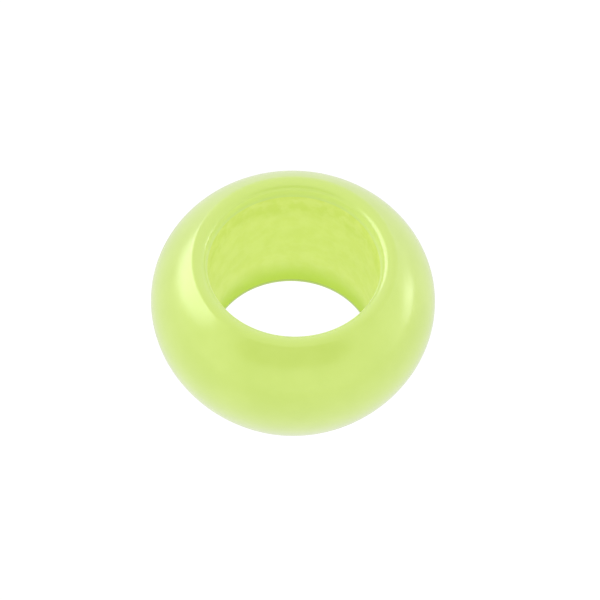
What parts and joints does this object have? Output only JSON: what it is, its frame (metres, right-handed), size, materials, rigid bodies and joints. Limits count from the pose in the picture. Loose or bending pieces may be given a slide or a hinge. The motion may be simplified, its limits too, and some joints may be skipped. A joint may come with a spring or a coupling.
{
  "type": "vibration dampener",
  "caption": "Soft glossy green ring with a convex outside and a matte sleeve in its bore, damping vibration in the strings of a racket.",
  "frame": {"origin": "centre of the bore in the plane of the lower end face", "axes": "+Z along the bore from the lower end face to the upper one; the ring is round, so X and Y are any two directions across it"},
  "size_m": [0.02, 0.02, 0.0116],
  "materials": {
    "soft_gloss": "glossy, slightly translucent lime green elastomer",
    "matte_lining": "matte, faintly mottled yellow-green elastomer"
  },
  "bodies": {
    "root": {"outer_ring": "soft_gloss", "bore_sleeve": "matte_lining"}
  },
  "joints": []
}
